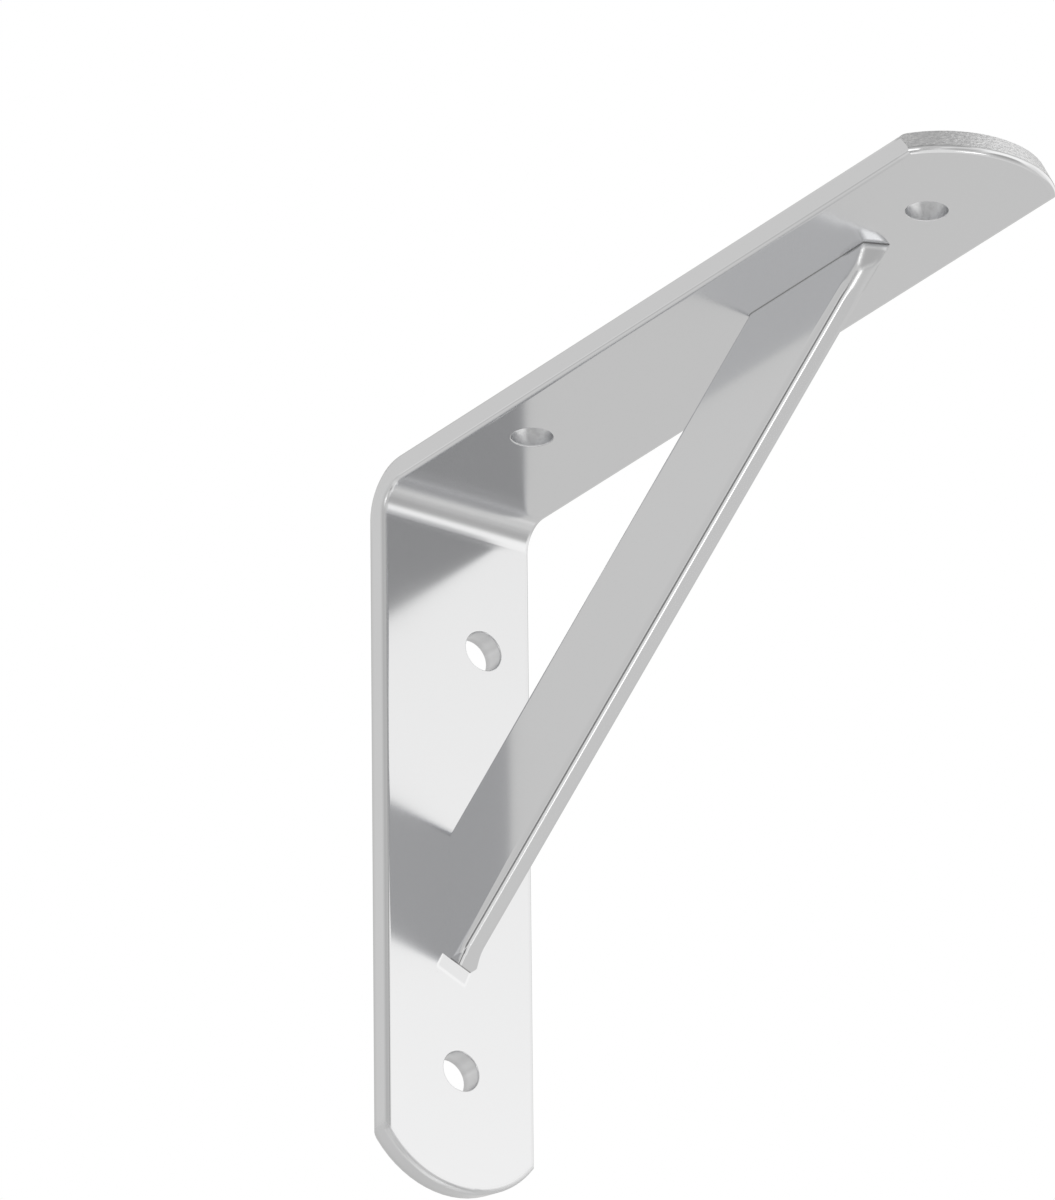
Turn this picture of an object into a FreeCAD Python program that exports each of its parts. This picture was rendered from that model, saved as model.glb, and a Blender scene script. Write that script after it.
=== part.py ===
import FreeCAD, Part
import Sketcher
import math
import os

# Welded shelf bracket: a flat bar bent to a right angle, with a diagonal strut on edge inside the corner.
# The wall is the plane x = 0, the underside of the shelf is the plane z = 0, and y = 0 is mid-width.
# +X runs out along the shelf arm and -Z runs down the upright.
# Both bars are sheared to length, so their ends lean and their last edges are rolled over.

# Alias, millimetres and meaning of each driving dimension
DIMENSIONS = (
    ("strap_width", 30.0, "width of the bent flat bar"),
    ("strap_thickness", 4.5, "thickness of the bent flat bar"),
    ("arm_length", 161.0, "shelf arm, from the wall to its tip"),
    ("upright_length", 129.0, "upright, from the shelf to its tip"),
    ("bend_outer_radius", 9.0, "outside of the bend"),
    ("bend_inner_radius", 4.5, "inside of the bend"),
    ("strap_edge_radius", 1.0, "rounding of the bar's long edges"),
    ("tip_arc_rise", 8.3, "shallow arc of both tips, from its ends to its crown"),
    ("arm_tip_lean", 2.2, "how much further the arm's tip reaches at its underside than at the shelf"),
    ("upright_tip_lean", 0.8, "how much further the upright's tip reaches at its front than at the wall"),
    ("tip_roll_radius", 0.9, "edge of both tips that the shear rolls over"),
    ("hole_diameter", 7.0, "plain screw holes"),
    ("hole_rim_radius", 0.25, "rounding of the screw hole rims"),
    ("outer_hole_to_tip", 21.0, "outer hole of each leg, from its tip"),
    ("arm_inner_hole_reach", 34.5, "inner hole of the shelf arm, from the wall"),
    ("upright_inner_hole_drop", 29.5, "inner hole of the upright, from the shelf"),
    ("inner_hole_offset", 5.3, "inner holes, to either side of mid-width"),
    ("strut_thickness", 4.0, "thickness of the strut's flat bar"),
    ("strut_width", 21.0, "width of the strut's flat bar"),
    ("strut_edge_radius", 1.1, "rounding of the strut's long edges"),
    ("strut_arm_reach", 91.8, "inner corner of the strut at the shelf arm, from the wall"),
    ("strut_upright_drop", 64.8, "inner corner of the strut at the upright, from the shelf"),
    ("arm_toe_trim", 2.75, "how far the strut's toe at the shelf arm stops short of a knife edge"),
    ("arm_toe_angle", 58.0, "degrees between the arm and the sheared end of that toe"),
    ("upright_toe_trim", 1.5, "how far the strut's toe at the upright stops short of a knife edge"),
    ("upright_toe_angle", 90.0, "degrees between the upright and the sheared end of that toe"),
    ("toe_lean", 23.0, "degrees that both sheared toe ends lean through the strut's thickness"),
    ("toe_stand_off", 0.6, "how far the lower toe swings out of the line of the strut's outer edge"),
    ("toe_sweep_radius", 5.0, "concave sweep from the strut into the lower toe"),
)
SHEET = "Dimensions"

# What constraints call the ends and the centre of a curve, the two axes and the root point
START, END, CENTRE = range(1, 4)
X_AXIS, Y_AXIS = range(-1, -3, -1)
ROOT = (X_AXIS, START)

# Places closer than this are the same, and a cut that takes off less than this volume has missed
SAME_PLACE = 1e-4
LEAST_CUT = 1.0
HALF_TURN = 180
Z_NORMAL = FreeCAD.Vector(0, 0, 1)


def make_sheet(doc):
    """Write each driving dimension to its own named cell."""
    sheet = doc.addObject("Spreadsheet::Sheet", SHEET)
    for row, (alias, value, meaning) in enumerate(DIMENSIONS, start=1):
        sheet.set(f"A{row}", meaning)
        sheet.set(f"B{row}", str(value))
        sheet.setAlias(f"B{row}", alias)
    doc.recompute()
    return sheet


def make_body(doc, name):
    body = doc.addObject("PartDesign::Body", name)
    body.Label = name
    return body


def make_sketch(body, role, name):
    """Add a sketch on one of the body's own origin planes."""
    plane = next(item for item in body.Origin.OriginFeatures if item.Role == role)
    sketch = body.newObject("Sketcher::SketchObject", name)
    sketch.AttachmentSupport = [(plane, "")]
    sketch.MapMode = "FlatFace"
    return sketch


def point(x, y):
    return FreeCAD.Vector(x, y, 0)


def line(sketch, start, end, construction=False):
    return sketch.addGeometry(Part.LineSegment(start, end), construction)


def outline(sketch, corners):
    """Add a closed outline of straight lines, joined corner to corner."""
    sides = [line(sketch, start, end) for start, end in zip(corners, corners[1:] + corners[:1])]
    for before, after in zip(sides, sides[1:] + sides[:1]):
        hold(sketch, "Coincident", before, END, after, START)
    return sides


def arc(sketch, centre, start, end):
    """Add the arc that runs anticlockwise from start to end."""
    radius = (start - centre).Length
    circle = Part.Circle(centre, Z_NORMAL, radius)
    first, last = circle.parameter(start), circle.parameter(end)
    return sketch.addGeometry(Part.ArcOfCircle(circle, first, last), False)


def hold(sketch, kind, *places):
    """Add a constraint that has no size."""
    sketch.addConstraint(Sketcher.Constraint(kind, *places))


def work_out(sketch, formula):
    """The plain number that a formula comes to."""
    return float(sketch.evalExpression(formula))


def drive(sketch, name, formula, kind, *places):
    """Add a sized constraint and bind it to the sheet. Angles are in degrees there."""
    value = work_out(sketch, formula)
    if kind == "Angle":
        value = math.radians(value)
    index = sketch.addConstraint(Sketcher.Constraint(kind, *places, value))
    sketch.renameConstraint(index, name)
    sketch.setExpression(f"Constraints.{name}", formula)


def cell(alias):
    return f"{SHEET}.{alias}"


def make_pad(body, sketch, name, width):
    """Extrude a side view to both sides of mid-width."""
    pad = body.newObject("PartDesign::Pad", name)
    pad.Profile = sketch
    pad.Midplane = True
    pad.setExpression("Length", width)
    return pad


def make_pocket(body, sketch, name, width):
    """Cut a side view out to both sides of mid-width."""
    pocket = body.newObject("PartDesign::Pocket", name)
    pocket.Profile = sketch
    pocket.Midplane = True
    pocket.setExpression("Length", width)
    return pocket


def make_half_turn(body, sketch, name):
    """Cut a side view away by turning it to both sides about the sketch's construction line."""
    groove = body.newObject("PartDesign::Groove", name)
    groove.Profile = sketch
    groove.ReferenceAxis = (sketch, ["Axis0"])
    groove.Midplane = True
    groove.Angle = HALF_TURN
    return groove


def make_fillet(body, base, name, edges, radius):
    """Round the edges that the test picks out."""
    names = [f"Edge{index}" for index, edge in enumerate(base.Shape.Edges, start=1) if edges(edge)]
    if not names:
        raise ValueError(f"{name} finds no edge to round")
    fillet = body.newObject("PartDesign::Fillet", name)
    fillet.Base = (base, names)
    fillet.setExpression("Radius", radius)
    return fillet


def check_cuts(features):
    """Stop if a cut missed the bar."""
    for before, after in zip(features, features[1:]):
        if after.Shape.Volume > before.Shape.Volume - LEAST_CUT:
            raise ValueError(f"{after.Name} takes nothing off")


def lies_on(edge, inside):
    """Tell whether the whole edge meets a condition, by its ends and its middle."""
    middle = edge.valueAt((edge.FirstParameter + edge.LastParameter) / 2)
    ends = [vertex.Point for vertex in edge.Vertexes]
    return all(inside(place) for place in ends + [middle])


def same(a, b):
    return abs(a - b) < SAME_PLACE


class Leg:
    """One leg of the strap. Along runs out from the bend, and depth runs in from the shelf or the wall."""

    def __init__(self, name, flat, strut_end, inner_hole, inner_side, points_down):
        self.name = name
        self.flat = flat
        self.strut_end = strut_end
        self.inner_hole = inner_hole
        self.inner_side = inner_side
        self.points_down = points_down
        self.length = f"{name}_length"
        self.tip_lean = f"{name}_tip_lean"
        self.toe_trim = f"{name}_toe_trim"
        self.toe_angle = f"{name}_toe_angle"
        self.axis = Y_AXIS if points_down else X_AXIS
        self.lengthwise = "Vertical" if points_down else "Horizontal"
        self.crosswise = "Horizontal" if points_down else "Vertical"

    def on_flat(self, along, across):
        """A point of the leg seen square to its flat."""
        return point(across, -along) if self.points_down else point(along, across)

    def on_side(self, along, depth):
        """A point of the leg seen from the side."""
        return point(depth, -along) if self.points_down else point(along, -depth)

    def drive_along(self, sketch, name, formula, place):
        if self.points_down:
            drive(sketch, name, formula, "DistanceY", *place, *ROOT)
        else:
            drive(sketch, name, formula, "DistanceX", *ROOT, *place)

    def drive_depth(self, sketch, name, formula, place):
        if self.points_down:
            drive(sketch, name, formula, "DistanceX", *ROOT, *place)
        else:
            drive(sketch, name, formula, "DistanceY", *place, *ROOT)

    def drive_across(self, sketch, name, formula, start, end):
        drive(sketch, name, formula, "DistanceX" if self.points_down else "DistanceY", *start, *end)

    def drive_turn(self, sketch, name, formula, start, end):
        """Size a turn seen from the side, which runs the other way round on the leg that points down."""
        first, second = (end, start) if self.points_down else (start, end)
        drive(sketch, name, formula, "Angle", *first, *second)

    def lean_out(self, pocket, degrees):
        """Let a cut that runs from side to side drift out along the leg as it goes."""
        pocket.UseCustomVector = True
        pocket.Direction = FreeCAD.Vector(0, 1, 0)
        drift = f"tan({degrees} * 1 deg)"
        if self.points_down:
            pocket.setExpression("Direction.z", f"-{drift}")
        else:
            pocket.setExpression("Direction.x", drift)


ARM = Leg("arm", "XY_Plane", "strut_arm_reach", "arm_inner_hole_reach", -1, points_down=False)
UPRIGHT = Leg("upright", "YZ_Plane", "strut_upright_drop", "upright_inner_hole_drop", 1, points_down=True)


def draw_strap_profile(body, sheet):
    """Side view of the bar: two legs joined by an inner and an outer bend."""
    sketch = make_sketch(body, "XZ_Plane", "strap_profile")
    reach = sheet.arm_length + sheet.arm_tip_lean
    drop = sheet.upright_length + sheet.upright_tip_lean
    thick = sheet.strap_thickness
    outside = sheet.bend_outer_radius
    inside = thick + sheet.bend_inner_radius

    shelf_side = line(sketch, point(outside, 0), point(reach, 0))
    arm_end = line(sketch, point(reach, 0), point(reach, -thick))
    underside = line(sketch, point(reach, -thick), point(inside, -thick))
    inner_bend = arc(sketch, point(inside, -inside), point(inside, -thick), point(thick, -inside))
    front = line(sketch, point(thick, -inside), point(thick, -drop))
    upright_end = line(sketch, point(thick, -drop), point(0, -drop))
    wall_side = line(sketch, point(0, -drop), point(0, -outside))
    outer_bend = arc(sketch, point(outside, -outside), point(outside, 0), point(0, -outside))

    hold(sketch, "Coincident", shelf_side, END, arm_end, START)
    hold(sketch, "Coincident", arm_end, END, underside, START)
    hold(sketch, "Tangent", underside, END, inner_bend, START)
    hold(sketch, "Tangent", inner_bend, END, front, START)
    hold(sketch, "Coincident", front, END, upright_end, START)
    hold(sketch, "Coincident", upright_end, END, wall_side, START)
    hold(sketch, "Tangent", wall_side, END, outer_bend, END)
    hold(sketch, "Tangent", outer_bend, START, shelf_side, START)
    for level in (underside, upright_end):
        hold(sketch, "Horizontal", level)
    for plumb in (arm_end, front):
        hold(sketch, "Vertical", plumb)
    hold(sketch, "PointOnObject", shelf_side, START, X_AXIS)
    hold(sketch, "PointOnObject", shelf_side, END, X_AXIS)
    hold(sketch, "PointOnObject", wall_side, START, Y_AXIS)
    hold(sketch, "PointOnObject", wall_side, END, Y_AXIS)

    ARM.drive_along(sketch, "reach", f"{cell(ARM.length)} + {cell(ARM.tip_lean)}", (shelf_side, END))
    full_drop = f"{cell(UPRIGHT.length)} + {cell(UPRIGHT.tip_lean)}"
    UPRIGHT.drive_along(sketch, "drop", full_drop, (wall_side, START))
    ARM.drive_depth(sketch, "arm_thickness", cell("strap_thickness"), (underside, START))
    UPRIGHT.drive_depth(sketch, "upright_thickness", cell("strap_thickness"), (front, END))
    drive(sketch, "outside", cell("bend_outer_radius"), "Radius", outer_bend)
    drive(sketch, "inside", cell("bend_inner_radius"), "Radius", inner_bend)
    return sketch


def draw_tip_cut(body, sheet, leg):
    """Side view of what the shear takes off one tip: a leaning cut that ends in the rolled edge.

    The construction line is the axis of the tip's shallow arc.
    """
    sketch = make_sketch(body, "XZ_Plane", f"{leg.name}_tip_cut")
    length = getattr(sheet, leg.length)
    lean = getattr(sheet, leg.tip_lean)
    thick = sheet.strap_thickness
    roll = sheet.tip_roll_radius
    far = length + sheet.strap_width
    square = f"(({cell('strap_width')} / 2)^2 + {cell('tip_arc_rise')}^2)"
    arc_centre = f"{cell(leg.length)} - {square} / (2 * {cell('tip_arc_rise')})"
    centre = work_out(sketch, arc_centre)
    slope = math.hypot(lean, thick)
    cut_back = roll * (slope + lean) / thick
    flat_end = length + lean - cut_back

    axis = line(sketch, leg.on_side(centre, 0), leg.on_side(centre, thick), construction=True)
    crown = leg.on_side(length, 0)
    corner = leg.on_side(length + lean, thick)
    roll_top = corner + (crown - corner).normalize() * cut_back
    roll_foot = leg.on_side(flat_end, thick)
    cut = line(sketch, crown, roll_top)
    flat = line(sketch, roll_foot, leg.on_side(far, thick))
    end = line(sketch, leg.on_side(far, thick), leg.on_side(far, 0))
    back = line(sketch, leg.on_side(far, 0), crown)
    corner_point = sketch.addGeometry(Part.Point(corner), True)
    if leg.points_down:
        rolled = arc(sketch, leg.on_side(flat_end, thick - roll), roll_top, roll_foot)
        top, foot = START, END
    else:
        rolled = arc(sketch, leg.on_side(flat_end, thick - roll), roll_foot, roll_top)
        top, foot = END, START

    hold(sketch, "Tangent", cut, END, rolled, top)
    hold(sketch, "Tangent", flat, START, rolled, foot)
    hold(sketch, "Coincident", flat, END, end, START)
    hold(sketch, "Coincident", end, END, back, START)
    hold(sketch, "Coincident", back, END, cut, START)
    hold(sketch, leg.lengthwise, flat)
    hold(sketch, leg.crosswise, end)
    hold(sketch, leg.crosswise, axis)
    hold(sketch, "PointOnObject", corner_point, START, cut)
    hold(sketch, "PointOnObject", corner_point, START, flat)
    hold(sketch, "PointOnObject", axis, END, flat)
    for place in ((cut, START), (end, END), (axis, START)):
        hold(sketch, "PointOnObject", *place, leg.axis)

    leg.drive_along(sketch, "crown", cell(leg.length), (cut, START))
    leg.drive_along(sketch, "corner", f"{cell(leg.length)} + {cell(leg.tip_lean)}", (corner_point, START))
    leg.drive_along(sketch, "far_end", f"{cell(leg.length)} + {cell('strap_width')}", (end, END))
    leg.drive_depth(sketch, "thickness", cell("strap_thickness"), (flat, END))
    drive(sketch, "roll", cell("tip_roll_radius"), "Radius", rolled)
    leg.drive_along(sketch, "arc_centre", arc_centre, (axis, START))
    return sketch


def draw_hole_centres(body, sheet, leg):
    """Two screw holes: one near the tip on the centre line, one near the bend off to one side."""
    sketch = make_sketch(body, leg.flat, f"{leg.name}_hole_centres")
    outer_along = getattr(sheet, leg.length) - sheet.outer_hole_to_tip
    places = (
        ("outer", outer_along, 0.0),
        ("inner", getattr(sheet, leg.inner_hole), leg.inner_side * sheet.inner_hole_offset),
    )
    holes = {}
    for name, along, across in places:
        circle = Part.Circle(leg.on_flat(along, across), Z_NORMAL, sheet.hole_diameter / 2)
        holes[name] = sketch.addGeometry(circle, False)
        drive(sketch, f"{name}_diameter", cell("hole_diameter"), "Diameter", holes[name])
    outer = (holes["outer"], CENTRE)
    inner = (holes["inner"], CENTRE)
    hold(sketch, "PointOnObject", *outer, leg.axis)
    leg.drive_along(sketch, "outer_along", f"{cell(leg.length)} - {cell('outer_hole_to_tip')}", outer)
    leg.drive_along(sketch, "inner_along", cell(leg.inner_hole), inner)
    start, end = (ROOT, inner) if leg.inner_side > 0 else (inner, ROOT)
    leg.drive_across(sketch, "inner_across", cell("inner_hole_offset"), start, end)
    return sketch


def make_holes(body, sketch, name, reverse):
    """Drill plain holes through one leg."""
    body.Document.recompute()
    hole = body.newObject("PartDesign::Hole", name)
    hole.Profile = sketch
    hole.Threaded = False
    hole.HoleCutType = "None"
    hole.DepthType = "ThroughAll"
    hole.Reversed = reverse
    hole.setExpression("Diameter", cell("hole_diameter"))
    return hole


def make_strap(doc, sheet):
    """The bent bar: rounded long edges, then sheared tips, then drilled holes with softened rims."""
    body = make_body(doc, "angle_strap")
    half = sheet.strap_width / 2
    hole_radius = sheet.hole_diameter / 2

    def on_outer_face(place):
        return same(place.x, 0) or same(place.z, 0)

    def along_bar(edge):
        """Long edges lie on a side face, with both ends on the outside or both on the inside of the bend."""
        start, end = [on_outer_face(vertex.Point) for vertex in edge.Vertexes]
        return lies_on(edge, lambda place: same(abs(place.y), half)) and start == end

    def is_hole_rim(edge):
        """Hole rims are full circles of the screw holes' size."""
        circle = edge.Curve.TypeId == "Part::GeomCircle" and edge.Closed
        return circle and same(edge.Curve.Radius, hole_radius)

    pad = make_pad(body, draw_strap_profile(body, sheet), "bent_bar", cell("strap_width"))
    doc.recompute()
    cuts = [make_fillet(body, pad, "long_edges", along_bar, cell("strap_edge_radius"))]
    doc.recompute()
    for leg in (ARM, UPRIGHT):
        cuts.append(make_half_turn(body, draw_tip_cut(body, sheet, leg), f"{leg.name}_tip"))
        doc.recompute()
    for leg in (ARM, UPRIGHT):
        centres = draw_hole_centres(body, sheet, leg)
        cuts.append(make_holes(body, centres, f"{leg.name}_holes", leg.points_down))
        doc.recompute()
    check_cuts(cuts)
    make_fillet(body, cuts[-1], "hole_rims", is_hole_rim, cell("hole_rim_radius"))
    doc.recompute()
    return body


def strut_frame(sheet):
    """Both inner corners of the strut, its direction down to the upright, and its outward side."""
    arm_corner = point(sheet.strut_arm_reach, -sheet.strap_thickness)
    upright_corner = point(sheet.strap_thickness, -sheet.strut_upright_drop)
    down = (upright_corner - arm_corner).normalize()
    return arm_corner, upright_corner, down, point(-down.y, down.x)


def overrun():
    """Formula for how far the strut's bar, and what is cut off it, run on past the strap."""
    return f"2 * {cell('strut_width')}"


def toe_end(leg, other_leg):
    """Formula for a toe's end, trimmed short of where the strut's straight outer edge meets the leg."""
    thick = cell("strap_thickness")
    near = cell(leg.strut_end)
    far = cell(other_leg.strut_end)
    span = f"sqrt(({near} - {thick})^2 + ({far} - {thick})^2)"
    return f"{near} + {cell('strut_width')} * {span} / ({far} - {thick}) - {cell(leg.toe_trim)}"


def draw_strut_bar(body, sheet):
    """Side view of the strut's bar, running on past both legs and swept out at the lower toe."""
    sketch = make_sketch(body, "XZ_Plane", "strut_bar_profile")
    arm_corner, upright_corner, down, outward = strut_frame(sheet)
    width = sheet.strut_width
    sweep = sheet.toe_sweep_radius
    stand_off = sheet.toe_stand_off
    over = work_out(sketch, overrun())

    toe_drop = toe_end(UPRIGHT, ARM)
    swept_edge = arm_corner + outward * (width + stand_off)
    toe = swept_edge + down * ((-work_out(sketch, toe_drop) - swept_edge.y) / down.y)
    run = math.sqrt(2 * sweep * stand_off - stand_off**2)
    sweep_start = toe - outward * stand_off - down * run
    sweep_centre = sweep_start + outward * sweep
    turned = point(sweep_centre.y - toe.y, toe.x - sweep_centre.x).normalize()
    inner_start = arm_corner - down * over
    inner_end = upright_corner + down * over
    outer_end = toe + turned * (down.dot(inner_end - toe) / down.dot(turned))

    inner_edge = line(sketch, inner_start, inner_end)
    lower_end = line(sketch, inner_end, outer_end)
    toe_edge = line(sketch, outer_end, toe)
    toe_sweep = arc(sketch, sweep_centre, sweep_start, toe)
    outer_edge = line(sketch, sweep_start, inner_start + outward * width)
    upper_end = line(sketch, inner_start + outward * width, inner_start)
    corners = [sketch.addGeometry(Part.Point(place), True) for place in (arm_corner, upright_corner)]

    hold(sketch, "Coincident", inner_edge, END, lower_end, START)
    hold(sketch, "Coincident", lower_end, END, toe_edge, START)
    hold(sketch, "Tangent", toe_edge, END, toe_sweep, END)
    hold(sketch, "Tangent", toe_sweep, START, outer_edge, START)
    hold(sketch, "Coincident", outer_edge, END, upper_end, START)
    hold(sketch, "Coincident", upper_end, END, inner_edge, START)
    hold(sketch, "Parallel", inner_edge, outer_edge)
    for end in (lower_end, upper_end):
        hold(sketch, "Perpendicular", inner_edge, end)
    for corner in corners:
        hold(sketch, "PointOnObject", corner, START, inner_edge)

    at_arm, at_upright = [(corner, START) for corner in corners]
    ARM.drive_along(sketch, "arm_reach", cell("strut_arm_reach"), at_arm)
    ARM.drive_depth(sketch, "arm_seat", cell("strap_thickness"), at_arm)
    UPRIGHT.drive_along(sketch, "upright_drop", cell("strut_upright_drop"), at_upright)
    UPRIGHT.drive_depth(sketch, "upright_seat", cell("strap_thickness"), at_upright)
    drive(sketch, "width", cell("strut_width"), "Distance", outer_edge, START, inner_edge)
    drive(sketch, "upper_overrun", overrun(), "Distance", *at_arm, inner_edge, START)
    drive(sketch, "lower_overrun", overrun(), "Distance", *at_upright, inner_edge, END)
    drive(sketch, "sweep", cell("toe_sweep_radius"), "Radius", toe_sweep)
    drive(sketch, "stand_off", cell("toe_stand_off"), "Distance", toe_edge, END, outer_edge)
    UPRIGHT.drive_along(sketch, "toe_drop", toe_drop, (toe_edge, END))
    return sketch


def draw_mitre_cut(body, sheet):
    """Side view of all that lies past the two inner faces of the strap, where the strut seats."""
    sketch = make_sketch(body, "XZ_Plane", "mitre_cut")
    thick = sheet.strap_thickness
    over = work_out(sketch, overrun())
    right = sheet.strut_arm_reach + 2 * over
    low = -sheet.strut_upright_drop - 2 * over
    corners = [(thick, -thick), (right, -thick), (right, over), (-over, over), (-over, low), (thick, low)]
    sides = outline(sketch, [point(*corner) for corner in corners])
    for level, plumb in zip(sides[::2], sides[1::2]):
        hold(sketch, "Horizontal", level)
        hold(sketch, "Vertical", plumb)
    ARM.drive_depth(sketch, "arm_seat", cell("strap_thickness"), (sides[0], START))
    UPRIGHT.drive_depth(sketch, "upright_seat", cell("strap_thickness"), (sides[0], START))
    ARM.drive_along(sketch, "right", f"{cell('strut_arm_reach')} + 2 * {overrun()}", (sides[1], START))
    drive(sketch, "above", overrun(), "DistanceY", *ROOT, sides[2], START)
    drive(sketch, "behind", overrun(), "DistanceX", sides[3], START, *ROOT)
    UPRIGHT.drive_along(sketch, "low", f"{cell('strut_upright_drop')} + 2 * {overrun()}", (sides[4], START))
    return sketch


def draw_toe_cut(body, sheet, leg, other_leg):
    """Side view of what is sheared off past the end of one toe."""
    sketch = make_sketch(body, "XZ_Plane", f"{leg.name}_toe_cut")
    thick = sheet.strap_thickness
    end_formula = toe_end(leg, other_leg)
    reach = work_out(sketch, end_formula)
    deep = thick + sheet.strut_width
    slant = 1 / math.tan(math.radians(getattr(sheet, leg.toe_angle)))
    far = reach + sheet.strut_width
    corners = [(reach + thick * slant, 0), (reach - (deep - thick) * slant, deep), (far, deep), (far, 0)]
    end, floor, side, back = outline(sketch, [leg.on_side(*corner) for corner in corners])
    toe_point = sketch.addGeometry(Part.Point(leg.on_side(reach, thick)), True)
    hold(sketch, leg.lengthwise, floor)
    hold(sketch, leg.crosswise, side)
    hold(sketch, "PointOnObject", toe_point, START, end)
    for place in ((end, START), (back, START)):
        hold(sketch, "PointOnObject", *place, leg.axis)
    leg.drive_along(sketch, "toe_end", end_formula, (toe_point, START))
    leg.drive_depth(sketch, "seat", cell("strap_thickness"), (toe_point, START))
    leg.drive_depth(sketch, "deep", f"{cell('strap_thickness')} + {cell('strut_width')}", (floor, END))
    leg.drive_along(sketch, "far", f"{end_formula} + {cell('strut_width')}", (floor, END))
    leg.drive_turn(sketch, "angle", f"180 - {cell(leg.toe_angle)}", (end, START), (back, END))
    return sketch


def make_strut(doc, sheet):
    """The diagonal bar on edge: rounded long edges, mitres flat on both legs, and toes sheared at a lean."""
    body = make_body(doc, "diagonal_strut")
    half = sheet.strut_thickness / 2
    outward = strut_frame(sheet)[-1]
    across = FreeCAD.Vector(outward.x, 0, outward.y)

    def along_bar(edge):
        """Long edges lie on a wide face and don't run straight across the bar."""
        start = edge.tangentAt(edge.FirstParameter)
        return lies_on(edge, lambda place: same(abs(place.y), half)) and not same(abs(start.dot(across)), 1)

    pad = make_pad(body, draw_strut_bar(body, sheet), "strut_bar", cell("strut_thickness"))
    doc.recompute()
    cuts = [make_fillet(body, pad, "strut_long_edges", along_bar, cell("strut_edge_radius"))]
    doc.recompute()
    through = f"2 * {cell('strut_thickness')}"
    cuts.append(make_pocket(body, draw_mitre_cut(body, sheet), "mitres", through))
    doc.recompute()
    for leg, other_leg in ((ARM, UPRIGHT), (UPRIGHT, ARM)):
        toe = make_pocket(body, draw_toe_cut(body, sheet, leg, other_leg), f"{leg.name}_toe", through)
        leg.lean_out(toe, cell("toe_lean"))
        doc.recompute()
        cuts.append(toe)
    check_cuts(cuts)
    return body


def check_document(doc, bodies):
    """Stop if any feature failed or any piece is not one sound solid."""
    for item in doc.Objects:
        bad = {"Invalid", "Error"} & set(item.State)
        if bad:
            raise ValueError(f"{item.Name} is {sorted(bad)}")
    for body in bodies:
        if body.Shape.isNull() or not body.Shape.isValid() or len(body.Shape.Solids) != 1:
            raise ValueError(f"{body.Label} is not one valid solid")


def main():
    doc = FreeCAD.newDocument("shelf_bracket")
    sheet = make_sheet(doc)
    bodies = [make_strap(doc, sheet), make_strut(doc, sheet)]
    check_document(doc, bodies)
    os.makedirs("parts", exist_ok=True)
    for body in bodies:
        body.Shape.exportStep(f"parts/{body.Label}.step")
        print(f"{body.Label}: {body.Shape.Volume:.1f} mm3, {len(body.Shape.Faces)} faces")


main()
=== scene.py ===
import math

import bmesh
import bpy
from mathutils import Matrix, Vector


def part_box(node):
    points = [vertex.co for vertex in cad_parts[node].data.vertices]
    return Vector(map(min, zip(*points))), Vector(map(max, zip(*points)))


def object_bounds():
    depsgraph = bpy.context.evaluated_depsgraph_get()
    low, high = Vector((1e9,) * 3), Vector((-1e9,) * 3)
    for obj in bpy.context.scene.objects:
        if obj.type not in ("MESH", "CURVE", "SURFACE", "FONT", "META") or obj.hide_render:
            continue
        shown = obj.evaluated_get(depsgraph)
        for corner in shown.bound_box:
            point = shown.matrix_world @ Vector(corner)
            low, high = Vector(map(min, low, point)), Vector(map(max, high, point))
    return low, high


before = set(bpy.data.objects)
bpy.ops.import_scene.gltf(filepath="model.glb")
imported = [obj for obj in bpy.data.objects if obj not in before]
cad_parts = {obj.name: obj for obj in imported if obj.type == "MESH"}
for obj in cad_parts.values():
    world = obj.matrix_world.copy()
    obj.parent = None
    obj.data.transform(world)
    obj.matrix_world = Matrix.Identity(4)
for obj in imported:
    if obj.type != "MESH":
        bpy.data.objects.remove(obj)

bl_info = {
    "name": "Shelf Bracket",
    "version": (1, 0, 0),
    "blender": (4, 5, 0),
    "location": "3D View > Sidebar > Shelf Bracket",
    "description": "Bright plating and a studio for a shelf bracket of bent flat bar with a strut",
    "category": "Add Mesh",
}

MM = 0.001
STRAP = "angle_strap"
STRUT = "diagonal_strut"
CAD_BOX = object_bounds()

# The wall is at x = 0 and the shelf's underside at z = 0, and the strut starts on the strap's inner face
STRUT_LOW, STRUT_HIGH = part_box(STRUT)
STRAP_THICKNESS = STRUT_LOW.x
BEND_END = 9 * MM
TIP_RADIUS = 17.7 * MM
ARM_ARC_CENTRE = 143.3 * MM
UPRIGHT_ARC_CENTRE = -111.3 * MM

# The strut's inner edge runs from this far out on the arm to this far down the upright
STRUT_ARM_REACH = 91.8 * MM
STRUT_UPRIGHT_DROP = 64.8 * MM
STRUT_WIDTH = 21 * MM
STRUT_EDGE_RADIUS = 1.1 * MM
STRUT_RUN = STRUT_ARM_REACH - STRAP_THICKNESS
STRUT_RISE = STRUT_UPRIGHT_DROP - STRAP_THICKNESS
STRUT_OUTWARD = Vector((STRUT_RISE, 0, -STRUT_RUN)).normalized()
STRUT_INNER_EDGE = Vector((STRUT_ARM_REACH, 0, -STRAP_THICKNESS)).dot(STRUT_OUTWARD)
STRUT_OUTER_EDGE = STRUT_INNER_EDGE + STRUT_WIDTH

# The lower toe's end leans through the strut's thickness. These run across and up the upright's front.
TOE_LEAN_ANGLE = math.radians(23)
TOE_LEAN = Vector((math.sin(TOE_LEAN_ANGLE), math.cos(TOE_LEAN_ANGLE)))
TOE_CORNER = Vector((STRUT_HIGH.y, STRUT_LOW.z))

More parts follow.
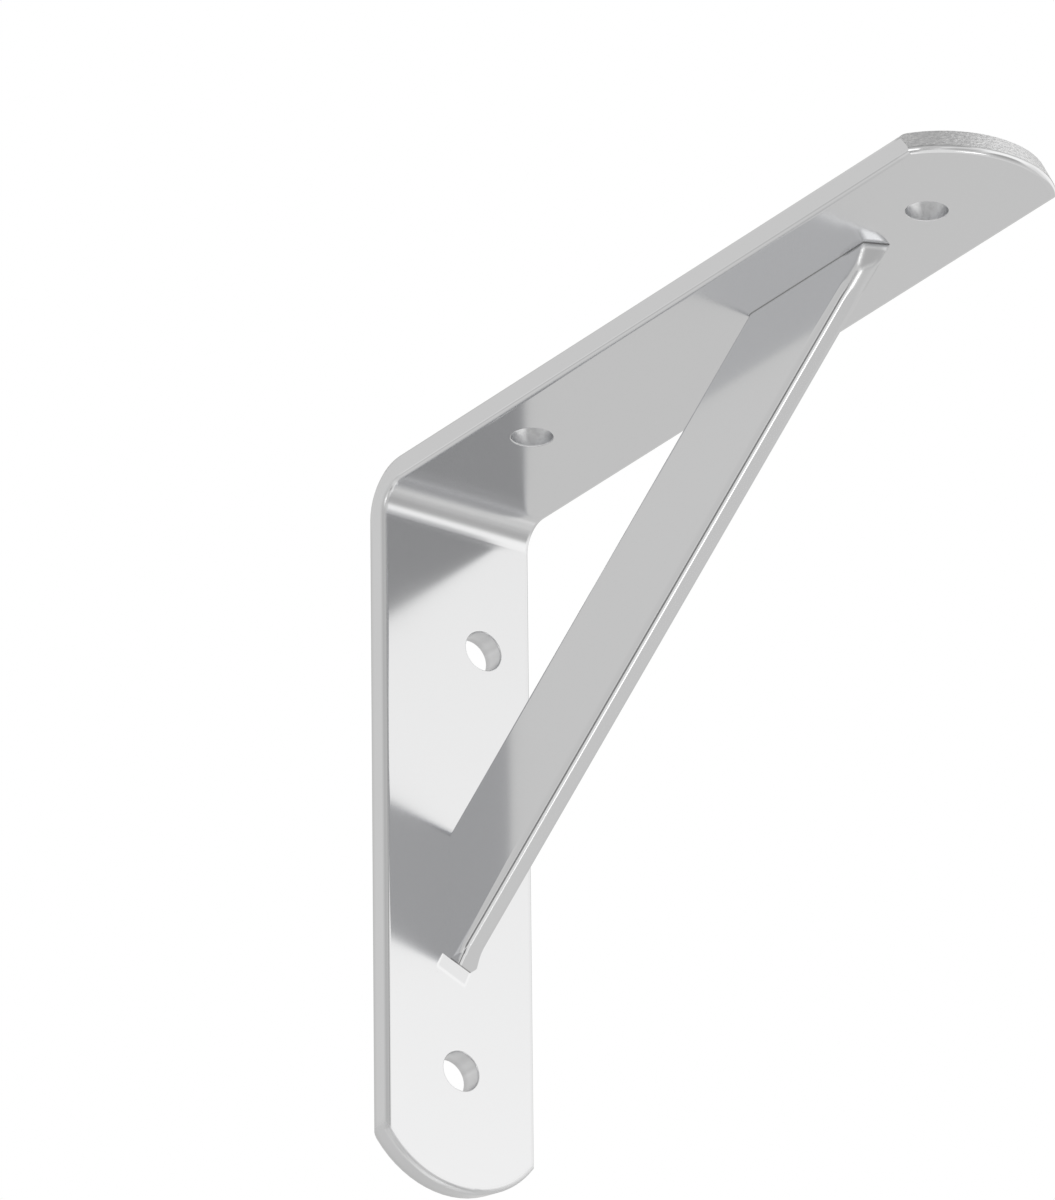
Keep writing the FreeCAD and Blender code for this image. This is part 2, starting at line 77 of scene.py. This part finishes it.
# Distance along the leg and to the side of mid-width of each hole
HOLE_RADIUS = 3.5 * MM
ARM_HOLES = ((34.5 * MM, -5.3 * MM), (140 * MM, 0))
UPRIGHT_HOLES = ((-29.5 * MM, 5.3 * MM), (-108 * MM, 0))


class Number:
    """A shader socket that adds Math nodes where it stands in an expression."""

    def __init__(self, shader, socket):
        self.shader = shader
        self.socket = socket

    def math(self, operation, first, second=0.0):
        node = self.shader.node("ShaderNodeMath", {"operation": operation}, {0: first, 1: second})
        return Number(self.shader, node.outputs[0])

    def __add__(self, other):
        return self.math("ADD", self, other)

    def __radd__(self, other):
        return self.math("ADD", other, self)

    def __sub__(self, other):
        return self.math("SUBTRACT", self, other)

    def __rsub__(self, other):
        return self.math("SUBTRACT", other, self)

    def __mul__(self, other):
        return self.math("MULTIPLY", self, other)

    def __rmul__(self, other):
        return self.math("MULTIPLY", other, self)

    def __truediv__(self, other):
        return self.math("DIVIDE", self, other)

    def __rtruediv__(self, other):
        return self.math("DIVIDE", other, self)

    def __pow__(self, other):
        return self.math("POWER", self, other)

    def __rpow__(self, other):
        return self.math("POWER", other, self)

    def __abs__(self):
        return self.math("ABSOLUTE", self)

    def most(self, other):
        return self.math("MAXIMUM", self, other)

    def least(self, other):
        return self.math("MINIMUM", self, other)


class Shader:
    """The nodes of one material or world."""

    def __init__(self, owner):
        owner.use_nodes = True
        self.tree = owner.node_tree
        self.tree.nodes.clear()

    def node(self, kind, settings=None, inputs=None):
        """Add one node: its settings come first, then the values or links of its sockets."""
        node = self.tree.nodes.new(kind)
        for name, value in (settings or {}).items():
            setattr(node, name, value)
        for name, value in (inputs or {}).items():
            self.feed(node.inputs[name], value)
        return node

    def feed(self, socket, value):
        """Link a socket, or set its value."""
        if isinstance(value, Number):
            value = value.socket
        if isinstance(value, bpy.types.NodeSocket):
            self.tree.links.new(value, socket)
        else:
            socket.default_value = value

    def number(self, node, output=0):
        return Number(self, node.outputs[output])

    def vector_math(self, operation, inputs):
        return self.node("ShaderNodeVectorMath", {"operation": operation}, inputs)

    def place(self):
        """The surface point in metres, as a vector and as three numbers."""
        vector = self.node("ShaderNodeTexCoord").outputs["Object"]
        parts = self.node("ShaderNodeSeparateXYZ", inputs={0: vector})
        return vector, [self.number(parts, axis) for axis in range(3)]

    def facing(self):
        """The surface's own direction as three numbers."""
        vector = self.node("ShaderNodeNewGeometry").outputs["Normal"]
        parts = self.node("ShaderNodeSeparateXYZ", inputs={0: vector})
        return [self.number(parts, axis) for axis in range(3)]

    def stretched(self, vector, scale):
        return self.vector_math("MULTIPLY", {0: vector, 1: scale}).outputs[0]

    def unit(self, vector):
        return self.vector_math("NORMALIZE", {0: vector}).outputs[0]

    def along(self, vector, direction):
        """How far a vector reaches along a direction."""
        return self.number(self.vector_math("DOT_PRODUCT", {0: vector, 1: direction}), "Value")

    def noise(self, vector, size, detail=2.0, roughness=0.5):
        """Smooth noise about as coarse as size, which is in metres."""
        inputs = {"Vector": vector, "Scale": 1 / size, "Detail": detail, "Roughness": roughness}
        return self.number(self.node("ShaderNodeTexNoise", inputs=inputs), "Fac")

    def step(self, value, low, high):
        """0 below low, 1 above high and smooth between; high may be the lower one."""
        flip = high < low
        bounds = (high, low) if flip else (low, high)
        inputs = {"Value": value, "From Min": bounds[0], "From Max": bounds[1]}
        node = self.node("ShaderNodeMapRange", {"interpolation_type": "SMOOTHSTEP"}, inputs)
        rise = self.number(node, "Result")
        return 1 - rise if flip else rise

    def band(self, value, start, whole, fading, end):
        """1 from whole to fading, 0 before start and past end, and smooth between."""
        return self.step(value, start, whole) * self.step(value, end, fading)

    def mix(self, share, first, second, label=""):
        """Mix two colours."""
        inputs = {"Factor": share, 6: first, 7: second}
        return self.node("ShaderNodeMix", {"data_type": "RGBA", "label": label}, inputs).outputs[2]

    def blend(self, share, first, second):
        """Mix two directions."""
        inputs = {"Factor": share, 4: first, 5: second}
        return self.node("ShaderNodeMix", {"data_type": "VECTOR"}, inputs).outputs[1]

    def bump(self, height, distance, normal=None):
        inputs = {"Height": height, "Distance": distance, "Strength": 1.0}
        if normal is not None:
            inputs["Normal"] = normal
        return self.node("ShaderNodeBump", inputs=inputs).outputs["Normal"]

    def rounded(self, radius):
        """The surface's direction with every edge near by rounded off."""
        return self.node("ShaderNodeBevel", {"samples": 12}, {"Radius": radius}).outputs[0]

    def output(self, kind, inputs, target="ShaderNodeOutputMaterial"):
        """Add the node that reflects or gives light, and send it to the output."""
        light = self.node(kind, inputs=inputs)
        self.node(target, inputs={"Surface": light.outputs[0]})


def grey(level):
    return (level, level, level, 1.0)


def lamp_white(level):
    """A touch warm, which the cool plating turns back to neutral."""
    return (level * 1.01, level, level * 0.98, 1.0)


class ShelfBracketFinish(bpy.types.PropertyGroup):
    """What a user would change about the plating."""

    colour: bpy.props.FloatVectorProperty(
        name="Plating colour", description="Reflected colour of the bright plating",
        default=(0.693, 0.700, 0.716), min=0, max=1, size=3, subtype="COLOR",
    )
    roughness: bpy.props.FloatProperty(
        name="Roughness", description="Softness of the plating's mirror image",
        default=0.14, min=0, max=1, subtype="FACTOR",
    )
    wave: bpy.props.FloatProperty(
        name="Waviness", description="Height of the slow waves left by rolling",
        default=0.03 * MM, min=0, unit="LENGTH", precision=6,
    )
    toe_rounding: bpy.props.FloatProperty(
        name="Toe rounding", description="How far the shear rounded the edges of the strut's upper toe",
        default=1.5 * MM, min=0, unit="LENGTH", precision=6,
    )
    shear: bpy.props.FloatProperty(
        name="Shear marks", description="Depth of the torn grain on the sheared tips",
        default=0.25 * MM, min=0, unit="LENGTH", precision=6,
    )


class ShelfBracketStudio(bpy.types.PropertyGroup):
    """What a user would change about the studio."""

    azimuth: bpy.props.FloatProperty(
        name="Azimuth", description="Camera's place round the bracket; 0 looks along +Y",
        default=math.radians(55.005), subtype="ANGLE",
    )
    elevation: bpy.props.FloatProperty(
        name="Elevation", description="Camera's height above the horizon",
        default=math.radians(-25.253), subtype="ANGLE",
    )
    roll: bpy.props.FloatProperty(
        name="Roll", description="Camera's turn about its own line of sight",
        default=math.radians(-0.604), subtype="ANGLE",
    )
    distance: bpy.props.FloatProperty(
        name="Distance", description="Camera to the point that it looks at",
        default=3.224, min=0.1, unit="LENGTH",
    )
    aim: bpy.props.FloatVectorProperty(
        name="Aim", description="Point that the camera looks at",
        default=(0.0020, 0.0162, -0.0162), size=3, subtype="TRANSLATION",
    )
    lens: bpy.props.FloatProperty(
        name="Focal length", description="Focal length in millimetres for a sensor 36 mm long",
        default=572.8, min=1,
    )
    floor_drop: bpy.props.FloatProperty(
        name="Floor drop", description="Floor below the shelf's underside",
        default=1.65, min=0, unit="LENGTH",
    )
    tent_radius: bpy.props.FloatProperty(
        name="Tent radius", description="Bracket to the light tent around it",
        default=1.2, min=0.2, unit="LENGTH",
    )


# The plating clouds over slightly from place to place, in brightness and in softness
CLOUD_SIZE = 14 * MM
CLOUD_SHARE = 0.10
CLOUD_SHADE = 0.94
CLOUD_ROUGHNESS = 0.3
WAVE_SIZE = 26 * MM


def plated(finish, shade):
    """The plating's colour, darkened by a shade."""
    return (*[part * shade for part in finish.colour], 1.0)


def plating(name, finish, shade, detail):
    """Bright plating on one piece; detail adds what only that piece has."""
    material = bpy.data.materials.new(name)
    shader = Shader(material)
    vector, place = shader.place()
    clouds = shader.noise(vector, CLOUD_SIZE)
    waves = shader.noise(vector, WAVE_SIZE, detail=1.0)
    colour = shader.mix(clouds * CLOUD_SHARE, plated(finish, shade), plated(finish, CLOUD_SHADE * shade))
    rough = finish.roughness * (1 - CLOUD_ROUGHNESS / 2 + CLOUD_ROUGHNESS * clouds)
    normal = shader.bump(waves, finish.wave)
    colour, rough, normal = detail(shader, vector, place, colour, rough, normal)
    inputs = {"Base Color": colour, "Metallic": 1.0, "Roughness": rough, "Normal": normal}
    shader.output("ShaderNodeBsdfPrincipled", inputs)
    return material


# A hole's wall is what lies within a hair of its radius, and within the thickness of its own leg
WALL_WHOLE = HOLE_RADIUS + 0.10 * MM
WALL_GONE = HOLE_RADIUS + 0.30 * MM
LEG_WHOLE = 1.2 * STRAP_THICKNESS
LEG_GONE = 1.5 * STRAP_THICKNESS

# A tip begins where its outline leaves the flats
TIP_EDGE_START = TIP_RADIUS - 0.6 * MM
TIP_EDGE_WHOLE = TIP_RADIUS + 0.3 * MM
TIP_FADE = 6 * MM

# The arm's tip by how far it faces up: a smooth rim with a dark line of painted shade along its burr, then
# torn metal
BURR_FACING = (0.00, 0.12, 0.22, 0.34)
TORN_FACING = (0.15, 0.35, 0.65, 0.85)

# The rounded long edges, by how far they face sideways, where their colour is darkened as painted shade
LONG_EDGE_FACING = (0.15, 0.45, 0.85, 0.98)

# The upright's rim at the wall, by the distance from the wall and from the shelf, darkened there as
# painted shade
RIM_DEPTH = (1.8 * MM, 0.5 * MM)
RIM_DROP = (-8 * MM, -14 * MM)
BEND_FADE = BEND_END + 1.5 * MM

# Shades of the plating against 1 on the flats: painted shade on the long edges, the rim at the wall, the
# burr line and the torn hollows, a painted glint on the torn grain, and darker worked metal where sheared
# and drilled
LONG_EDGE_SHADE = 0.80
BURR_SHADE = 0.64
TORN_SHADE = 0.70
TORN_SPARKLE = 0.90
SHEARED_SHADE = 0.88
DRILLED_SHADE = 0.64

# Added roughness of worked metal
TORN_ROUGHNESS = 0.20
SHEARED_ROUGHNESS = 0.26
BEND_ROUGHNESS = 0.12
WALL_ROUGHNESS = 0.18

# The torn grain is longer along the edge than through the strap's thickness
TORN_GRAIN = 0.45 * MM
TORN_STRETCH = (0.6, 0.6, 1.2)
DRILL_MARK = 0.9 * MM
DRILL_DEPTH = 0.06 * MM


def near_hole(shader, along, across, holes):
    """1 within the radius of one of a leg's holes."""
    near = 0.0
    for centre, side in holes:
        reach = ((along - centre) ** 2 + (across - side) ** 2) ** 0.5
        near = near + shader.step(reach, WALL_GONE, WALL_WHOLE)
    return near


def hole_walls(shader, place):
    """1 on the walls of the arm's drilled holes, and the same for the upright's."""
    x, y, z = place
    arm_walls = shader.step(z, -LEG_GONE, -LEG_WHOLE) * near_hole(shader, x, y, ARM_HOLES)
    upright_walls = shader.step(x, LEG_GONE, LEG_WHOLE) * near_hole(shader, z, y, UPRIGHT_HOLES)
    return arm_walls, upright_walls


def past_arc(shader, along, across, centre):
    """1 on the sheared and rolled edge of a tip, 0 on its flats."""
    reach = ((along - centre) ** 2 + across ** 2) ** 0.5
    fade = math.copysign(TIP_FADE, centre)
    return shader.step(reach, TIP_EDGE_START, TIP_EDGE_WHOLE) * shader.step(along, centre, centre + fade)


def strap_detail(finish):
    def detail(shader, vector, place, colour, rough, normal):
        """The torn tips with painted shade in their hollows and painted glints, painted shade on the long
        edges, the burr and the rim at the wall, the drawn inside of the bend and the drilled walls.
        """
        x, y, z = place
        _, sideways, upward = shader.facing()
        rolled = past_arc(shader, x, y, ARM_ARC_CENTRE)
        sheared = past_arc(shader, z, y, UPRIGHT_ARC_CENTRE)
        torn = rolled * shader.band(upward, *TORN_FACING)
        # Painted shade: a dark line along the burr between the torn face and the rolled rim
        burr_line_shade = rolled * shader.band(upward, *BURR_FACING)
        # Painted shade: the rounded long edges are darkened in colour
        painted_edge_shade = shader.band(abs(sideways), *LONG_EDGE_FACING) * (1 - rolled.most(sheared))
        # Painted shade: the upright's rim at the wall is darkened in colour
        wall_rim_shade = shader.step(x, *RIM_DEPTH) * shader.step(z, *RIM_DROP)
        bend = shader.step(x, BEND_FADE, BEND_END) * shader.step(z, -BEND_FADE, -BEND_END)
        arm_walls, upright_walls = hole_walls(shader, place)
        grain = shader.noise(shader.stretched(vector, TORN_STRETCH), TORN_GRAIN, detail=3.0, roughness=0.6)
        drill_marks = shader.noise(vector, DRILL_MARK, detail=3.0, roughness=0.6)
        # Painted shade in the hollows of the torn grain, and painted glints on its peaks
        hollow_shade = torn * shader.step(grain, 0.50, 0.30)
        painted_glints = torn * shader.step(grain, 0.50, 0.72)
        scores = arm_walls * shader.step(drill_marks, 0.55, 0.35)
        tints = (
            ("long edge", painted_edge_shade * 0.3, plated(finish, LONG_EDGE_SHADE)),
            ("rim at the wall", wall_rim_shade * 0.6, plated(finish, LONG_EDGE_SHADE)),
            ("burr_line_shade", burr_line_shade, plated(finish, BURR_SHADE)),
            ("torn hollows", hollow_shade * 0.6, plated(finish, TORN_SHADE)),
            ("torn sparkle", painted_glints * 0.6, grey(TORN_SPARKLE)),
            ("sheared", sheared * 0.5, plated(finish, SHEARED_SHADE)),
            ("drill marks", scores * 0.3, plated(finish, DRILLED_SHADE)),
        )
        for label, share, tint in tints:
            colour = shader.mix(share, colour, tint, label)
        rough = rough + torn * TORN_ROUGHNESS + sheared * SHEARED_ROUGHNESS
        rough = rough + bend * BEND_ROUGHNESS + (arm_walls + upright_walls) * WALL_ROUGHNESS
        normal = shader.bump(grain * torn, finish.shear, normal)
        normal = shader.bump(drill_marks * arm_walls, DRILL_DEPTH, normal)
        normal = shader.blend(under_toe(shader, place), normal, UNDER_TOE_FACING)
        return colour, rough, normal

    return detail


# The patch of the upright under the strut's lower toe, measured down from the toe's end and along it
UNDER_TOE_DEPTH = (0, 0.15 * MM, 2.4 * MM, 3.4 * MM)
UNDER_TOE_MIDDLE = 3.0 * MM
UNDER_TOE_WHOLE = 2.7 * MM
UNDER_TOE_GONE = 3.3 * MM
UNDER_TOE_FACING = Vector((0.932, -0.182, -0.312)).normalized()
UPRIGHT_FRONT = (3 * MM, 4 * MM, 1.1 * STRAP_THICKNESS, 1.2 * STRAP_THICKNESS)


def under_toe(shader, place):
    """1 on the small patch of the upright's front just below the strut's lower toe."""
    x, y, z = place
    below = TOE_LEAN.x * (TOE_CORNER.x - y) + TOE_LEAN.y * (TOE_CORNER.y - z)
    along = TOE_LEAN.y * (TOE_CORNER.x - y) - TOE_LEAN.x * (TOE_CORNER.y - z)
    under = shader.band(below, *UNDER_TOE_DEPTH)
    beside = shader.step(abs(along - UNDER_TOE_MIDDLE), UNDER_TOE_GONE, UNDER_TOE_WHOLE)
    return under * beside * shader.band(x, *UPRIGHT_FRONT)


# The strut's near edge runs down to the upright past the lower toe's end, and drifts across as it goes
TOE_EDGE_AT_SEAT = 0.3 * MM
TOE_EDGE_DRIFT = 0.375
TOE_EDGE_ON_STRUT = STRUT_LOW.y + STRUT_EDGE_RADIUS

# The lower toe's end and its edges, by how far they face down or out from the wall
TOE_FACING_DOWN = (-0.86, -0.89)
TOE_FACING_OUT = (0.58, 0.62)
LOW_TOE_WHOLE = STRUT_LOW.z + 5 * MM
LOW_TOE_GONE = STRUT_LOW.z + 6 * MM
ARM_TOE_GONE = STRUT_HIGH.x - 9 * MM
ARM_TOE_WHOLE = STRUT_HIGH.x - 6 * MM

# The dark line of the seams, by the distance from the arm and from the upright
SEAM_WHOLE = 0.04 * MM
SEAM_GONE = 0.26 * MM
TOE_SEAM_WHOLE = STRAP_THICKNESS + 0.10 * MM
TOE_SEAM_GONE = STRAP_THICKNESS + 0.40 * MM
SEAM_GREY = 0.35
SEAM_ROUGHNESS = 0.25
TOE_POLISH = 0.85

# The flats beside the strut's outer edge bend over slightly towards it
SOFT_EDGE_WHOLE = 1.2 * MM
SOFT_EDGE_GONE = 2.1 * MM
SOFT_EDGE_TILT = 0.27


def swept_toe(shader, place):
    """Direction of the lower toe's end, which runs on from the strut's outer edge down to the upright."""
    x, y, _ = place
    edge = (TOE_EDGE_AT_SEAT - TOE_EDGE_DRIFT * (x - STRAP_THICKNESS)).most(TOE_EDGE_ON_STRUT)
    sideways = ((edge - y) / STRUT_EDGE_RADIUS).least(1.0).most(0.0)
    outward = (1 - sideways ** 2) ** 0.5
    parts = {0: outward * STRUT_OUTWARD.x, 1: -1 * sideways, 2: outward * STRUT_OUTWARD.z}
    return shader.node("ShaderNodeCombineXYZ", inputs=parts).outputs[0]


def strut_detail(finish):
    def detail(shader, vector, place, colour, rough, normal):
        """The line where the strut meets the strap, and its toes, which the shear has rounded."""
        x, _, z = place
        outward, sideways, upward = shader.facing()
        seam = shader.step(-STRAP_THICKNESS - z, SEAM_GONE, SEAM_WHOLE)
        facing_down = shader.step(upward, *TOE_FACING_DOWN)
        toe_seam = shader.step(x, TOE_SEAM_GONE, TOE_SEAM_WHOLE) * facing_down
        colour = shader.mix(seam.most(toe_seam), colour, grey(SEAM_GREY), "seam")
        edge_gap = STRUT_OUTER_EDGE - shader.along(vector, STRUT_OUTWARD)
        soft_edge = shader.step(edge_gap, SOFT_EDGE_GONE, SOFT_EDGE_WHOLE) * abs(sideways)
        normal = shader.unit(shader.blend(soft_edge * SOFT_EDGE_TILT, normal, STRUT_OUTWARD))
        arm_toe = shader.step(x, ARM_TOE_GONE, ARM_TOE_WHOLE)
        normal = shader.blend(arm_toe, normal, shader.rounded(finish.toe_rounding))
        low_toe = shader.step(z, LOW_TOE_GONE, LOW_TOE_WHOLE)
        swept = low_toe * facing_down.most(shader.step(outward, *TOE_FACING_OUT))
        normal = shader.blend(swept, normal, swept_toe(shader, place))
        rough = (rough + seam * SEAM_ROUGHNESS) * (1 - TOE_POLISH * swept)
        return colour, rough, normal

    return detail


def dress(node, material):
    """Put a material on every slot of a piece that comes with the frame."""
    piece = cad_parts[node]
    for slot in piece.material_slots:
        slot.material = material


class SHELFBRACKET_OT_angle_strap(bpy.types.Operator):
    """Plate the bent flat bar"""

    bl_idname = "shelf_bracket.angle_strap"
    bl_label = "Angle Strap"

    def execute(self, context):
        finish = context.scene.shelf_bracket_finish
        dress(STRAP, plating("strap_plating", finish, 1.0, strap_detail(finish)))
        return {"FINISHED"}


class SHELFBRACKET_OT_diagonal_strut(bpy.types.Operator):
    """Plate the diagonal strut"""

    bl_idname = "shelf_bracket.diagonal_strut"
    bl_label = "Diagonal Strut"
    shade = 0.965

    def execute(self, context):
        finish = context.scene.shelf_bracket_finish
        dress(STRUT, plating("strut_plating", finish, self.shade, strut_detail(finish)))
        return {"FINISHED"}


# Each panel's direction from the bracket, its brightness, and the degrees to where it starts to fade and
# to where it has faded. Each lies over the ones before it, on a tent of brightness 1.
PANELS = (
    ("far softbox", (0.050, 0.900, 0.430), 1.20, 26, 38),
    ("high softbox", (0.741, 0.519, 0.427), 1.12, 18, 32),
    ("level softbox", (0.855, 0.520, 0.000), 1.30, 12, 34),
    ("wall side card", (-0.880, 0.050, -0.400), 0.74, 30, 42),
    ("wall side high card", (-0.900, 0.050, 0.430), 0.68, 14, 34),
    ("left card", (-0.741, 0.519, -0.427), 0.735, 16, 30),
    ("far card", (-0.400, 0.850, -0.300), 0.76, 18, 28),
    ("behind card", (-0.600, 0.790, 0.050), 0.74, 12, 20),
    ("rear high card", (-0.741, -0.519, 0.427), 0.80, 14, 28),
    ("rear low card", (-0.741, -0.519, -0.427), 0.85, 12, 24),
    ("rear level card", (-0.450, -0.900, 0.000), 0.78, 12, 24),
    ("near side card", (-0.250, -0.860, 0.430), 0.74, 12, 24),
    ("side card", (0.000, -1.000, -0.050), 0.72, 12, 22),
    ("near low card", (-0.150, -0.880, -0.450), 0.76, 12, 20),
    ("tip edge card", (0.720, -0.660, -0.200), 0.62, 8, 14),
    ("tip low card", (0.520, -0.620, -0.590), 0.62, 8, 16),
    ("side lamp", (0.500, -0.830, -0.255), 2.60, 6, 10),
    ("ceiling card", (0.150, -0.200, 0.970), 0.52, 24, 36),
    ("tip card", (-0.400, 0.680, 0.610), 0.62, 12, 22),
    ("back high card", (-0.641, 0.641, 0.423), 0.66, 8, 16),
    ("back low card", (-0.683, -0.683, -0.259), 0.66, 5, 11),
    ("front card", (1.000, -0.100, -0.150), 0.84, 10, 18),
    ("near card", (0.741, -0.519, 0.427), 0.68, 16, 30),
    ("near flag", (0.887, -0.173, 0.427), 0.42, 4, 10),
    ("near edge card", (0.300, -0.830, 0.430), 0.66, 14, 28),
    ("floor card", (0.150, 0.600, -0.780), 0.80, 19, 28),
    ("floor edge card", (0.470, 0.550, -0.690), 0.64, 12, 20),
    ("low card", (0.741, 0.480, -0.460), 0.49, 10, 22),
    ("toe edge card", (0.500, 0.220, -0.840), 0.72, 8, 16),
    ("toe card", (0.840, -0.160, -0.520), 0.58, 10, 22),
    ("floor lamp", (0.265, 0.225, -0.937), 2.50, 5.5, 9.5),
    ("toe mirror card", (0.090, 0.100, -0.990), 1.00, 5, 8),
    ("floor side lamp", (-0.310, -0.030, -0.950), 2.20, 4, 8),
    ("floor flag", (0.123, -0.551, -0.825), 0.25, 7, 14),
)
TENT_CUTS = 5


def tent_light():
    """Light of a white tent with softboxes and grey cards hung in it."""
    material = bpy.data.materials.new("tent_light")
    material.cycles.emission_sampling = "NONE"
    shader = Shader(material)
    vector, _ = shader.place()
    outward = shader.unit(vector)
    light = lamp_white(1.0)
    for label, toward, brightness, whole, faded in PANELS:
        nearness = shader.along(outward, Vector(toward).normalized())
        share = shader.step(nearness, math.cos(math.radians(faded)), math.cos(math.radians(whole)))
        light = shader.mix(share, light, lamp_white(brightness), label)
    shader.output("ShaderNodeEmission", {"Color": light})
    return material


def add_tent(studio):
    """A ball-shaped tent round the bracket that only the plating sees."""
    shape = bmesh.new()
    bmesh.ops.create_icosphere(shape, subdivisions=TENT_CUTS, radius=studio.tent_radius)
    mesh = bpy.data.meshes.new("light_tent")
    shape.to_mesh(mesh)
    shape.free()
    mesh.materials.append(tent_light())
    tent = bpy.data.objects.new("light_tent", mesh)
    tent.location = (Vector(CAD_BOX[0]) + Vector(CAD_BOX[1])) / 2
    bpy.context.scene.collection.objects.link(tent)
    tent.visible_camera = False
    tent.visible_diffuse = False
    tent.visible_shadow = False


FLOOR_HALF = 30.0
FLOOR_CORNERS = ((-1, -1), (1, -1), (1, 1), (-1, 1))
FLOOR_CLOUD = 0.5
FLOOR_GREYS = (0.94, 0.98)
FLOOR_ROUGHNESS = 0.7


def floor_material():
    material = bpy.data.materials.new("pale_floor")
    shader = Shader(material)
    vector, _ = shader.place()
    dark, light = FLOOR_GREYS
    colour = shader.mix(shader.noise(vector, FLOOR_CLOUD), grey(dark), grey(light))
    shader.output("ShaderNodeBsdfPrincipled", {"Base Color": colour, "Roughness": FLOOR_ROUGHNESS})
    return material


def add_floor(studio):
    corners = [(side * FLOOR_HALF, end * FLOOR_HALF, 0) for side, end in FLOOR_CORNERS]
    mesh = bpy.data.meshes.new("floor")
    mesh.from_pydata(corners, [], [(0, 1, 2, 3)])
    mesh.materials.append(floor_material())
    floor = bpy.data.objects.new("floor", mesh)
    floor.location.z = -studio.floor_drop
    bpy.context.scene.collection.objects.link(floor)


WHITE = 1.0
PLAIN_LIGHT = 0.97


def add_backdrop():
    """White for what the camera and the mirror-bright plating see, and plain even light otherwise."""
    world = bpy.data.worlds.new("white_tent")
    bpy.context.scene.world = world
    shader = Shader(world)
    path = shader.node("ShaderNodeLightPath")
    seen = shader.number(path, "Is Camera Ray")
    for ray in ("Is Glossy Ray", "Is Transmission Ray"):
        seen = seen.most(shader.number(path, ray))
    colour = shader.mix(seen, grey(PLAIN_LIGHT), grey(WHITE))
    shader.output("ShaderNodeBackground", {"Color": colour, "Strength": 1.0}, "ShaderNodeOutputWorld")


SENSOR_WIDTH = 36
NEAREST_SEEN = 0.1
FARTHEST_SEEN = 100


def camera_axes(studio):
    """The camera's own right, up and back."""
    level = math.cos(studio.elevation)
    right = Vector((math.cos(studio.azimuth), math.sin(studio.azimuth), 0))
    back = Vector((
        math.sin(studio.azimuth) * level,
        -math.cos(studio.azimuth) * level,
        math.sin(studio.elevation),
    ))
    up = back.cross(right)
    turned_right = right * math.cos(studio.roll) + up * math.sin(studio.roll)
    turned_up = up * math.cos(studio.roll) - right * math.sin(studio.roll)
    return turned_right, turned_up, back


def add_camera(studio):
    axes = camera_axes(studio)
    data = bpy.data.cameras.new("camera")
    data.lens = studio.lens
    data.sensor_width = SENSOR_WIDTH
    data.clip_start = NEAREST_SEEN
    data.clip_end = FARTHEST_SEEN
    camera = bpy.data.objects.new("camera", data)
    place = Vector(studio.aim) + axes[2] * studio.distance
    camera.matrix_world = Matrix.Translation(place) @ Matrix(axes).transposed().to_4x4()
    bpy.context.scene.collection.objects.link(camera)
    bpy.context.scene.camera = camera


class SHELFBRACKET_OT_studio(bpy.types.Operator):
    """Set up the floor, backdrop, lights and camera"""

    bl_idname = "shelf_bracket.studio"
    bl_label = "Studio"

    def execute(self, context):
        studio = context.scene.shelf_bracket_studio
        add_camera(studio)
        add_backdrop()
        add_floor(studio)
        add_tent(studio)
        context.scene.view_settings.view_transform = "Standard"
        return {"FINISHED"}


class SHELFBRACKET_PT_panel(bpy.types.Panel):
    """The bracket's pieces and its studio"""

    bl_idname = "SHELFBRACKET_PT_panel"
    bl_label = "Shelf Bracket"
    bl_space_type = "VIEW_3D"
    bl_region_type = "UI"
    bl_category = "Shelf Bracket"

    def draw(self, context):
        scene = context.scene
        for settings in (scene.shelf_bracket_finish, scene.shelf_bracket_studio):
            for name in settings.__annotations__:
                self.layout.prop(settings, name)
        for operator in OPERATORS:
            self.layout.operator(operator.bl_idname)


OPERATORS = (
    SHELFBRACKET_OT_angle_strap,
    SHELFBRACKET_OT_diagonal_strut,
    SHELFBRACKET_OT_studio,
)
CLASSES = (ShelfBracketFinish, ShelfBracketStudio, *OPERATORS, SHELFBRACKET_PT_panel)


def register():
    for item in CLASSES:
        bpy.utils.register_class(item)
    bpy.types.Scene.shelf_bracket_finish = bpy.props.PointerProperty(type=ShelfBracketFinish)
    bpy.types.Scene.shelf_bracket_studio = bpy.props.PointerProperty(type=ShelfBracketStudio)


def unregister():
    del bpy.types.Scene.shelf_bracket_studio
    del bpy.types.Scene.shelf_bracket_finish
    for item in reversed(CLASSES):
        bpy.utils.unregister_class(item)


def main():
    register()
    bpy.ops.shelf_bracket.angle_strap()
    bpy.ops.shelf_bracket.diagonal_strut()
    bpy.ops.shelf_bracket.studio()


if __name__ == "__main__":
    main()
